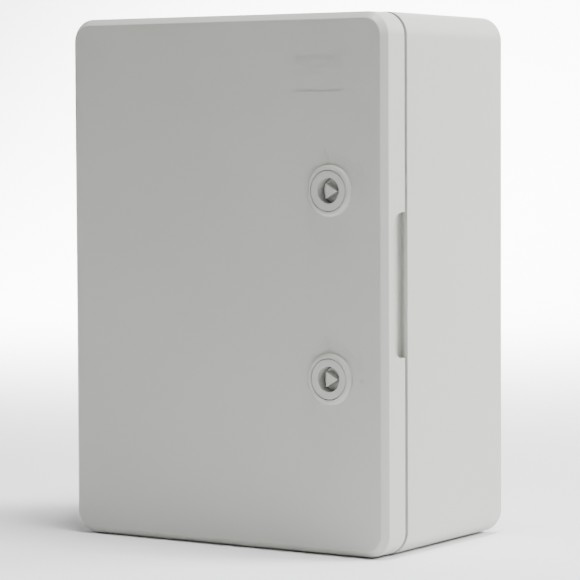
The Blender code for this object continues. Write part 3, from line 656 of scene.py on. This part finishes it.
# The marks round each lock, in x and z from its middle: arcs by radius and two angles, rings by their
# middles, and lines by their ends. One more line runs in from the door's left edge at top and bottom.
ARC_MARKS = ((0.0232, 24, 80), (0.0273, 12, 42), (0.0206, 44, 62))
RING_MARKS = ((-0.0028, 0.0272), (0.0238, -0.0006))
RING_RADIUS = 0.0013
LINE_MARKS = (
    ((-0.0072, 0.0241), (0.0047, 0.0241)),
    ((-0.0015, 0.0192), (-0.0015, 0.0222)),
    ((-0.0056, 0.0180), (0.0004, 0.0180)),
    ((0.0190, 0.0067), (0.0250, 0.0067)),
    ((0.0218, -0.0032), (0.0258, -0.0032)),
    ((-0.0112, 0.0136), (-0.0134, 0.0158)),
)
CORNER_MARK_ENDS = (-door_x + CHAMFER + 0.0004, -0.1096)
marks = []
for _, side in SIDES:
    middle = Vector((lock.x, side * lock.z))
    marks += [ring_mark(*middle, *mark) for mark in ARC_MARKS]
    marks += [ring_mark(*(middle + Vector(place)), RING_RADIUS) for place in RING_MARKS]
    marks += [straight_mark(middle + Vector(start), middle + Vector(end)) for start, end in LINE_MARKS]
    marks.append(straight_mark(*((x, side * CORNER_MARK_Z) for x in CORNER_MARK_ENDS)))
join(door_panel, marks)
smooth(door_panel)
install(door_panel, "door", case_abs, "door")

# ---------------------------------------------------------------------------------------------------------
# Door seal: polyurethane foamed in place between the door's side wall and its rib. It has a rounded skin,
# dark grey, with the fine open cells that show where the foam has risen.
BEAD_WALL = 0.0032
BEAD_ROUND = 0.0010
seal_bead = case_ring("seal_bead", half_width - seal_high.x, seal_low.y, seal_high.y, BEAD_WALL)
soften(seal_bead, BEAD_ROUND, segments=5)
foam_skin, place = finish("foam_skin", Roughness=0.9)
cells = node(foam_skin, "TexVoronoi", {"Vector": place, "Scale": 1100, "Randomness": 1.0})
rise = node(foam_skin, "TexNoise", {"Vector": place, "Scale": 60, "Detail": 5})
connect(foam_skin, Base_Color=tints(foam_skin, rise, (0.085, 0.087, 0.09), (0.15, 0.152, 0.155)))
bumps(foam_skin, [(cells, 0.5, 0.0002), (rise, 0.3, 0.0006)])
install(seal_bead, "door_gasket", foam_skin, "door")

# ---------------------------------------------------------------------------------------------------------
# Hinge pins: drawn steel rods with chamfered ends, pressed through the door's eyes and free in the base's.
# Drawing leaves fine streaks along them, and each end has the turned ring of the cut-off tool.
drawn_steel, place = finish("drawn_steel", Metallic=1.0)
streaked = node(drawn_steel, "Mapping", {"Vector": place, "Scale": (1, 1, 0.02)})
streaks = node(drawn_steel, "TexNoise", {"Vector": streaked, "Scale": 2500, "Detail": 4})
connect(drawn_steel, Base_Color=tints(drawn_steel, streaks, (0.44, 0.44, 0.45), (0.60, 0.60, 0.61)))
connect(drawn_steel, Roughness=spread(drawn_steel, streaks, 0.2, 0.38))
bumps(drawn_steel, [(streaks, 0.2, 0.00005)])
PIN_CHAMFER = 0.0004
END_RING = 0.0005
END_RING_DEPTH = 0.00012
for name, side in SIDES:
    low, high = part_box(f"hinge_pin_{name}")
    span = (low.z - side * hinge.z, high.z - side * hinge.z)
    pin = hinge_rod(f"pin_rod_{name}", side, (high.x - low.x) / 2, span)
    edit(pin)
    choose(pin, "edges", lambda e: lies_at(e, 2, low.z) or lies_at(e, 2, high.z))
    bpy.ops.mesh.bevel(offset=PIN_CHAMFER, segments=3, affect="EDGES")
    choose(pin, "faces", lambda f: lies_at(f, 2, low.z) or lies_at(f, 2, high.z))
    bpy.ops.mesh.inset(thickness=END_RING, depth=-END_RING_DEPTH, use_individual=True)
    done(pin)
    smooth(pin)
    install(pin, f"hinge_pin_{name}", drawn_steel, "base")

# ---------------------------------------------------------------------------------------------------------
# Lock cylinders: moulded glass-filled nylon, a shade smoother than the door. Each has a flat flange that lies
# flush in its seat, a well for the key and a threaded barrel through the door for the nut.
WELL_RADIUS = 0.00825
FLANGE_RADIUS = 0.0130
FLANGE_THICK = 0.0026
BARREL_RADIUS = 0.0109
BARREL_NECK = 0.0015
BORE_RADIUS = 0.0053
WELL_EDGE = 0.0004
FLANGE_EDGE = 0.0002
LOCK_PITCH = 0.0015
LOCK_THREAD = 0.0006
LEAD_IN = 0.0005
well_floor_y = -0.1430


def thread(radius, depth, start, end, pitch):
    """The rings of a thread between two depths."""
    rings = []
    turn = (end - start) / round(abs(end - start) / pitch)
    for i in range(round((end - start) / turn)):
        y = start + i * turn
        rings += [(radius - depth, y), (radius - depth, y + turn * 0.15)]
        rings += [(radius, y + turn * 0.5), (radius, y + turn * 0.65)]
    return [*rings, (radius - depth, end)]


def copy_of(piece, name, shift):
    """The same piece again with its own mesh, moved by shift."""
    pick_up(piece)
    bpy.ops.object.duplicate(linked=False)
    made = bpy.context.object
    made.name = name
    made.location = shift
    return settle(made)


def lock_pair(piece, node_name, material, body):
    """Installs a finished piece in the upper lock, and its copy in the lower one."""
    lower = copy_of(piece, piece.name.replace("upper", "lower"), (0, 0, -2 * lock.z))
    for fitted, name in ((piece, "upper"), (lower, "lower")):
        install(fitted, f"{node_name}_{name}", material, body.format(name))


front, end = lock_low.y, lock_high.y
flange_back = front + FLANGE_THICK
neck_end = flange_back + BARREL_NECK
cylinder_rings = [
    (WELL_RADIUS, front + WELL_EDGE),
    (WELL_RADIUS + WELL_EDGE / 4, front + WELL_EDGE / 4),
    (WELL_RADIUS + WELL_EDGE, front),
    (FLANGE_RADIUS - FLANGE_EDGE, front),
    (FLANGE_RADIUS, front + FLANGE_EDGE),
    (FLANGE_RADIUS, flange_back),
    (BARREL_RADIUS, flange_back),
    (BARREL_RADIUS, neck_end),
    *thread(BARREL_RADIUS, LOCK_THREAD, neck_end + LEAD_IN, end - 2 * LEAD_IN, LOCK_PITCH),
    (BARREL_RADIUS - LOCK_THREAD - LEAD_IN, end),
    (BORE_RADIUS + WELL_EDGE, end),
    (BORE_RADIUS, end - WELL_EDGE),
    (BORE_RADIUS, well_floor_y),
    (WELL_RADIUS, well_floor_y),
    (WELL_RADIUS, front + WELL_EDGE),
]
lock_cylinder = turned("lock_cylinder_upper", cylinder_rings, lock.x, lock.z, 128)
smooth(lock_cylinder, 28)
lock_plastic = moulded_plastic("lock_plastic", (0.53, 0.53, 0.50), 0.36, 2200)
lock_pair(lock_cylinder, "lock_body", lock_plastic, "door")

# ---------------------------------------------------------------------------------------------------------
# Flange seals and O-rings: black nitrile rubber. A flat washer seals each flange to its seat. An O-ring in
# the spindle's groove, with the fine flash line of its mould, seals the turning shaft.
nitrile, place = finish("nitrile", Roughness=0.62)
bloom = node(nitrile, "TexNoise", {"Vector": place, "Scale": 400, "Detail": 6})
connect(nitrile, Base_Color=tints(nitrile, bloom, (0.018, 0.018, 0.019), (0.045, 0.045, 0.046)))
bumps(nitrile, [(bloom, 0.25, 0.0001)])

FLASH = 0.00004


def washer(name, node_name, inner, edge, sides):
    """A flat washer in its solid's place, with its rims' corners taken off."""
    low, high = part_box(node_name)
    outer = (high.x - low.x) / 2
    rings = [
        (inner, low.y + edge),
        (inner + edge, low.y),
        (outer - edge, low.y),
        (outer, low.y + edge),
        (outer, high.y - edge),
        (outer - edge, high.y),
        (inner + edge, high.y),
        (inner, high.y - edge),
        (inner, low.y + edge),
    ]
    return smooth(turned(name, rings, lock.x, lock.z, sides))


flange_seal = washer("flange_seal_upper", "lock_seal_upper", BARREL_HOLE, 0.0002, 96)
lock_pair(flange_seal, "lock_seal", nitrile, "door")

low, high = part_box("lock_o_ring_upper")
cord_radius = (high.y - low.y) / 2
cord_middle = ((high.x - low.x) / 2 - cord_radius, (high.y + low.y) / 2)
section = arc(cord_middle, cord_radius, 8, 352, 20)
section = [*section, (cord_middle[0] + cord_radius + FLASH, cord_middle[1]), section[0]]
o_ring = smooth(turned("shaft_ring_upper", section, lock.x, lock.z, 64), 60)
lock_pair(o_ring, "lock_o_ring", nitrile, "{}_lock")

# ---------------------------------------------------------------------------------------------------------
# Spindles: the moulded cores that a key turns. Each has a triangular key head, a disc that stops on the
# well's floor, a shaft with the ring's groove, and a square end with a hole for the cam's screw.
spindle_low, spindle_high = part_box("lock_spindle_upper")
DISC_RADIUS = 0.00765
DISC_THICK = 0.0022
SHAFT_RADIUS = 0.005
SHAFT_EDGE = 0.0003
GROOVE_RADIUS = 0.0032
GROOVE_HALF = 0.0012
SQUARE_SIDE = 0.007
SQUARE_EDGE = 0.0004
TRIANGLE_REACH = 0.0105 / math.sqrt(3)
TRIANGLE_CORNER = 0.0006
TRIANGLE_EDGE = 0.0004
shaft_end_y = -0.1257
screw_hole_y = -0.1305
disc_back_y = well_floor_y - CLEARANCE
disc_front_y = disc_back_y - DISC_THICK
groove_y = (cord_middle[1] - GROOVE_HALF, cord_middle[1] + GROOVE_HALF)
spindle_rings = [
    (DISC_RADIUS - SHAFT_EDGE, disc_front_y),
    (DISC_RADIUS, disc_front_y + SHAFT_EDGE),
    (DISC_RADIUS, disc_back_y),
    (SHAFT_RADIUS, disc_back_y),
    (SHAFT_RADIUS, groove_y[0]),
    (GROOVE_RADIUS, groove_y[0]),
    (GROOVE_RADIUS, groove_y[1]),
    (SHAFT_RADIUS, groove_y[1]),
    (SHAFT_RADIUS, shaft_end_y - SHAFT_EDGE),
    (SHAFT_RADIUS - SHAFT_EDGE, shaft_end_y),
]
spindle = turned("key_spindle_upper", spindle_rings, lock.x, lock.z, 64)
key_head_rings = [(TRIANGLE_REACH, spindle_low.y), (TRIANGLE_REACH, disc_front_y + EMBED)]
key_head = turned("key_head", key_head_rings, lock.x, lock.z, 3)
edit(key_head)
choose(key_head, "edges", lambda e: runs_along(e, 1))
bpy.ops.mesh.bevel(offset=TRIANGLE_CORNER, segments=5, affect="EDGES")
choose(key_head, "edges", lambda e: lies_at(e, 1, spindle_low.y))
bpy.ops.mesh.bevel(offset=TRIANGLE_EDGE, segments=3, affect="EDGES")
done(key_head)
half = SQUARE_SIDE / 2
square_low = (lock.x - half, shaft_end_y - EMBED, lock.z - half)
square_end = cube("square_end", square_low, (lock.x + half, spindle_high.y, lock.z + half))
edit(square_end)
choose(square_end, "edges", lambda e: lies_at(e, 1, spindle_high.y) or runs_along(e, 1))
bpy.ops.mesh.bevel(offset=SQUARE_EDGE, segments=2, affect="EDGES")
done(square_end)
join(spindle, [key_head, square_end])
hole_ends = (lock.x, screw_hole_y, lock.z), (lock.x, spindle_high.y + PAST, lock.z)
cut(spindle, [bar("screw_hole", SCREW_HOLE, *hole_ends, 32)])
lock_pair(smooth(spindle), "lock_spindle", lock_plastic, "{}_lock")

# ---------------------------------------------------------------------------------------------------------
# Lock nuts: hexagon nuts pressed from steel and zinc plated, with chamfered corners and the barrel's thread.
# The plating is bright with a slight blue cast, and cloudy where it dried.
nut_low, nut_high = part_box("lock_nut_upper")
NUT_CORNER = (nut_high.x - nut_low.x) / 2
NUT_BORE = 0.0113
NUT_MOUTH = NUT_BORE + 0.0006
NUT_THREAD = 0.0004
NUT_EDGE = 0.0004
NUT_CROWN = 0.0012


def plated_steel(name, colour, roughness):
    """Zinc plate: bright, with cloudy patches and fine scratches."""
    made, place = finish(name, Metallic=1.0)
    cloud = node(made, "TexNoise", {"Vector": place, "Scale": 120, "Detail": 6, "Roughness": 0.6})
    scratch = node(made, "TexNoise", {"Vector": place, "Scale": 1800, "Detail": 3})
    connect(made, Base_Color=tints(made, cloud, shade(colour, 0.8), colour))
    connect(made, Roughness=spread(made, cloud, roughness - 0.08, roughness + 0.14))
    bumps(made, [(scratch, 0.15, 0.00005), (cloud, 0.1, 0.0001)])
    return made


nut = turned("barrel_nut_upper", [(NUT_CORNER, nut_low.y), (NUT_CORNER, nut_high.y)], lock.x, lock.z, 6)
flat = NUT_CORNER * math.cos(math.pi / 6)
crown_rings = [
    (flat - NUT_EDGE, nut_low.y),
    (NUT_CORNER, nut_low.y + NUT_CROWN),
    (NUT_CORNER, nut_high.y - NUT_CROWN),
    (flat - NUT_EDGE, nut_high.y),
]
join(nut, [turned("crown", crown_rings, lock.x, lock.z, 96)], "INTERSECT")
nut_thread = thread(NUT_BORE + NUT_THREAD, NUT_THREAD, nut_low.y + LEAD_IN, nut_high.y - LEAD_IN, LOCK_PITCH)
bore_rings = [(NUT_MOUTH, nut_low.y - 0.0002), *nut_thread, (NUT_MOUTH, nut_high.y + 0.0002)]
cut(nut, [turned("bore", bore_rings, lock.x, lock.z, 96)])
zinc = plated_steel("zinc", (0.66, 0.68, 0.70), 0.3)
lock_pair(smooth(nut, 25), "lock_nut", zinc, "door")

# ---------------------------------------------------------------------------------------------------------
# Cams: stamped from 3 mm steel strip and zinc plated. Each has a round hub with a square hole and a tapered
# arm that turns in behind its keeper, with the press's slightly rounded edges.
cam_low, cam_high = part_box("lock_cam_upper")
HUB_RADIUS = (cam_high.x - cam_low.x) / 2
CAM_TIP_HALF = 0.006
CAM_TIP_ROUND = 0.003
PRESSED_EDGE = 0.0003
cam = turned("cam_arm_upper", [(HUB_RADIUS, cam_low.y), (HUB_RADIUS, cam_high.y)], lock.x, lock.z, 96)
arm = cube("arm", (lock.x - HUB_RADIUS, cam_low.y, cam_low.z), (lock.x + HUB_RADIUS, cam_high.y, lock.z))
edit(arm)
choose(arm, "faces", lambda f: lies_at(f, 2, cam_low.z))
bpy.ops.transform.resize(value=(CAM_TIP_HALF / HUB_RADIUS, 1, 1), center_override=(lock.x, 0, cam_low.z))
choose(arm, "edges", lambda e: runs_along(e, 1) and lies_at(e, 2, cam_low.z))
bpy.ops.mesh.bevel(offset=CAM_TIP_ROUND, segments=8, affect="EDGES")
done(arm)
join(cam, [arm])
half = SQUARE_SIDE / 2 + CLEARANCE
square_hole_low = (lock.x - half, cam_low.y - PAST, lock.z - half)
cut(cam, [cube("square_hole", square_hole_low, (lock.x + half, cam_high.y + PAST, lock.z + half))])
lock_pair(soften(cam, PRESSED_EDGE), "lock_cam", zinc, "{}_lock")

# ---------------------------------------------------------------------------------------------------------
# Cam washers and every screw: zinc-plated steel. The screws are pan heads with a cross recess and a rolled
# thread; the cams' hold the washers on, and the others cut their thread in the base's bosses and pads.
SHANK_RADIUS = 0.0017
SCREW_PITCH = 0.0008
SCREW_THREAD = 0.00035
SCREW_POINT = 0.0014
THREAD_START = 0.0004
NECK = 0.8
TIP = 0.45
HEAD_ROUND = 0.0010
HEAD_SLOPE = 0.0001
HEAD_EDGE = (0.0002, 0.0003)
RECESS_DEPTH = 0.0014
RECESS_START = 0.001
RECESS_LONG = 1.1
RECESS_WIDE = 0.26
RECESS_TAPER = 0.6

cam_washer = washer("flat_washer_upper", "cam_washer_upper", SCREW_HOLE, 0.00015, 64)
lock_pair(cam_washer, "cam_washer", zinc, "{}_lock")


def screw(name, node_name, head_height, into):
    """A pan-head screw in its solid's place. Its shank points to the wall (into 1) or the door (into -1)."""
    low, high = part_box(node_name)
    x, z, head = (low.x + high.x) / 2, (low.z + high.z) / 2, (high.x - low.x) / 2
    top, tip = (low.y, high.y) if into > 0 else (high.y, low.y)
    seat = top + into * head_height
    rim_height = HEAD_ROUND + HEAD_SLOPE
    dome = arc((head - HEAD_ROUND, 0), HEAD_ROUND, 90, 10, 6)
    rings = [(head / 2, top), *[(radius, top + into * (rim_height - rise)) for radius, rise in dome]]
    rings += [(head, seat - into * HEAD_EDGE[1]), (head - HEAD_EDGE[0], seat), (SHANK_RADIUS * NECK, seat)]
    thread_ends = (seat + into * THREAD_START, tip - into * SCREW_POINT)
    rings += thread(SHANK_RADIUS, SCREW_THREAD, *thread_ends, SCREW_PITCH)
    rings += [(SHANK_RADIUS * TIP, tip)]
    made = turned(name, rings, x, z, 48)
    start, floor_y = top - into * RECESS_START, top + into * RECESS_DEPTH
    recess = []
    for width, height in ((RECESS_WIDE, RECESS_LONG), (RECESS_LONG, RECESS_WIDE)):
        arm_low = (x - width * head / 2, min(start, floor_y), z - height * head / 2)
        arm_high = (x + width * head / 2, max(start, floor_y), z + height * head / 2)
        arm = cube("recess", arm_low, arm_high)
        edit(arm)
        choose(arm, "faces", lambda f: lies_at(f, 1, floor_y))
        bpy.ops.transform.resize(value=(RECESS_TAPER, 1, RECESS_TAPER), center_override=(x, 0, z))
        recess.append(done(arm))
    cut(made, recess)
    return smooth(made, 28)


def fit_corners(piece, node_name, at, material):
    """Installs a finished piece at the base's upper right corner, and its copies at the other three."""
    stem = piece.name.removesuffix("_upper_right")
    for name, x, z in CORNERS:
        shift = ((x - 1) * at.x, 0, (z - 1) * at.z)
        fitted = copy_of(piece, f"{stem}_{name}", shift) if any(shift) else piece
        install(fitted, f"{node_name}_{name}", material, "base")


cam_fixing = screw("cam_fixing_upper", "cam_screw_upper", 0.0030, -1)
lock_pair(cam_fixing, "cam_screw", zinc, "{}_lock")

keeper_fixing = screw("keeper_fixing_upper", "keeper_screw_upper", 0.0025, 1)
lock_pair(keeper_fixing, "keeper_screw", zinc, "base")

plate_fixing = screw("plate_fixing_upper_right", "plate_screw_upper_right", 0.0028, 1)
fit_corners(plate_fixing, "plate_screw", boss, zinc)

# ---------------------------------------------------------------------------------------------------------
# Keepers: 2 mm steel strip bent to a hook and zinc plated. Each is screwed to its pad inside the base, and
# its lip stands in front of the cam when the lock is turned.
KEEPER_THICK = 0.002
KEEPER_BEND = 0.0019
KEEPER_EDGE = 0.00025
HOOK_END_X = 0.1057
middle_foot_y = keeper_high.y - KEEPER_THICK / 2
middle_hook_y = keeper_low.y + KEEPER_THICK / 2
riser_x = keeper_high.x - KEEPER_THICK / 2
clear_selection()
bpy.ops.mesh.primitive_plane_add(size=1)
keeper = bpy.context.object
keeper.name = "bent_keeper_upper"
keeper.scale = (riser_x - keeper_low.x, keeper_high.z - keeper_low.z, 1)
keeper.rotation_euler.x = math.pi / 2
keeper.location = ((riser_x + keeper_low.x) / 2, middle_foot_y, (keeper_high.z + keeper_low.z) / 2)
settle(keeper)
edit(keeper)
choose(keeper, "edges", lambda e: lies_at(e, 0, riser_x))
bpy.ops.mesh.extrude_edges_move(TRANSFORM_OT_translate={"value": (0, middle_hook_y - middle_foot_y, 0)})
bpy.ops.mesh.extrude_edges_move(TRANSFORM_OT_translate={"value": (HOOK_END_X - riser_x, 0, 0)})
choose(keeper, "edges", lambda e: lies_at(e, 0, riser_x) and runs_along(e, 2))
bpy.ops.mesh.bevel(offset=KEEPER_BEND, segments=8, affect="EDGES")
bpy.ops.mesh.select_all(action="SELECT")
bpy.ops.mesh.normals_make_consistent(inside=False)
done(keeper)
modify(keeper, "SOLIDIFY", thickness=KEEPER_THICK, offset=0, use_even_offset=True)
low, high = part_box("keeper_screw_upper")
at = (low + high) / 2
hole_ends = (at.x, keeper_high.y - KEEPER_THICK - PAST, at.z), (at.x, keeper_high.y + PAST, at.z)
cut(keeper, [bar("screw_hole", SCREW_HOLE, *hole_ends, 48)])
lock_pair(soften(keeper, KEEPER_EDGE, angle=40), "keeper", zinc, "base")

# ---------------------------------------------------------------------------------------------------------
# Mounting plate: 1.5 mm galvanised sheet, cut and punched, screwed to four bosses. Hot-dip zinc leaves large
# flat crystals that catch the light differently.
SHEET_ROUND = 0.006
SHEET_EDGE = 0.0002
SHEET_HOLE = 0.0027
plate_sheet = round_box("plate_sheet", plate_low, plate_high, SHEET_ROUND, 8)
holes = []
for _, x, z in CORNERS:
    at = Vector((x * boss.x, 0, z * boss.z))
    ends = at + Vector((0, plate_low.y - PAST, 0)), at + Vector((0, plate_high.y + PAST, 0))
    holes.append(bar("screw_hole", SHEET_HOLE, *ends, 48))
cut(plate_sheet, holes)
soften(plate_sheet, SHEET_EDGE)

galvanised, place = finish("galvanised", Metallic=1.0)
warped = node(galvanised, "TexNoise", {"Vector": place, "Scale": 90, "Detail": 3}, noise_dimensions="3D")
crystal_settings = {"Vector": place, "Scale": 130, "Randomness": 1.0}
crystal = node(galvanised, "TexVoronoi", crystal_settings, distance="MANHATTAN")
spangle = crystal.node.outputs["Color"]
grey = node(galvanised, "SeparateColor", {"Color": spangle})
connect(galvanised, Base_Color=tints(galvanised, grey, (0.50, 0.52, 0.54), (0.68, 0.70, 0.72), 0.1, 0.9))
connect(galvanised, Roughness=spread(galvanised, grey, 0.28, 0.5))
bumps(galvanised, [(grey, 0.08, 0.0001), (warped, 0.1, 0.0002)])
install(plate_sheet, "mounting_plate", galvanised, "base")

# ---------------------------------------------------------------------------------------------------------
# Wall plugs: soft ABS mushrooms pushed into the wall-fixing holes from inside, with a domed head and barbed
# shank, taken out when the box is screwed to its wall.
PLUG_SHANK = 0.0026
PLUG_HEAD = 0.002
PLUG_DOME = 0.0012
PLUG_POINT = 0.0008
BARB_RISE = 0.0003
BARB_LENGTH = 0.0006
BARB_STEP = 0.0007
head_radius = (plug_high.x - plug_low.x) / 2
seat = plug_low.y + PLUG_HEAD
dome = arc((head_radius - PLUG_DOME, 0), PLUG_DOME, 90, 0, 6)
plug_rings = [(head_radius * 0.4, plug_low.y)]
plug_rings += [(radius, plug_low.y + PLUG_DOME - rise) for radius, rise in dome]
plug_rings += [(head_radius, seat), (PLUG_SHANK - BARB_RISE, seat)]
for i in range(3):
    barb = seat + BARB_RISE + i * BARB_STEP
    plug_rings += [(PLUG_SHANK, barb), (PLUG_SHANK - BARB_RISE, barb + BARB_LENGTH)]
plug_rings.append((PLUG_SHANK - PLUG_POINT, plug_high.y))
wall_plug = smooth(turned("hole_plug_upper_right", plug_rings, plug.x, plug.z, 48))
fit_corners(wall_plug, "wall_plug", plug, case_abs)

low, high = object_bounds()
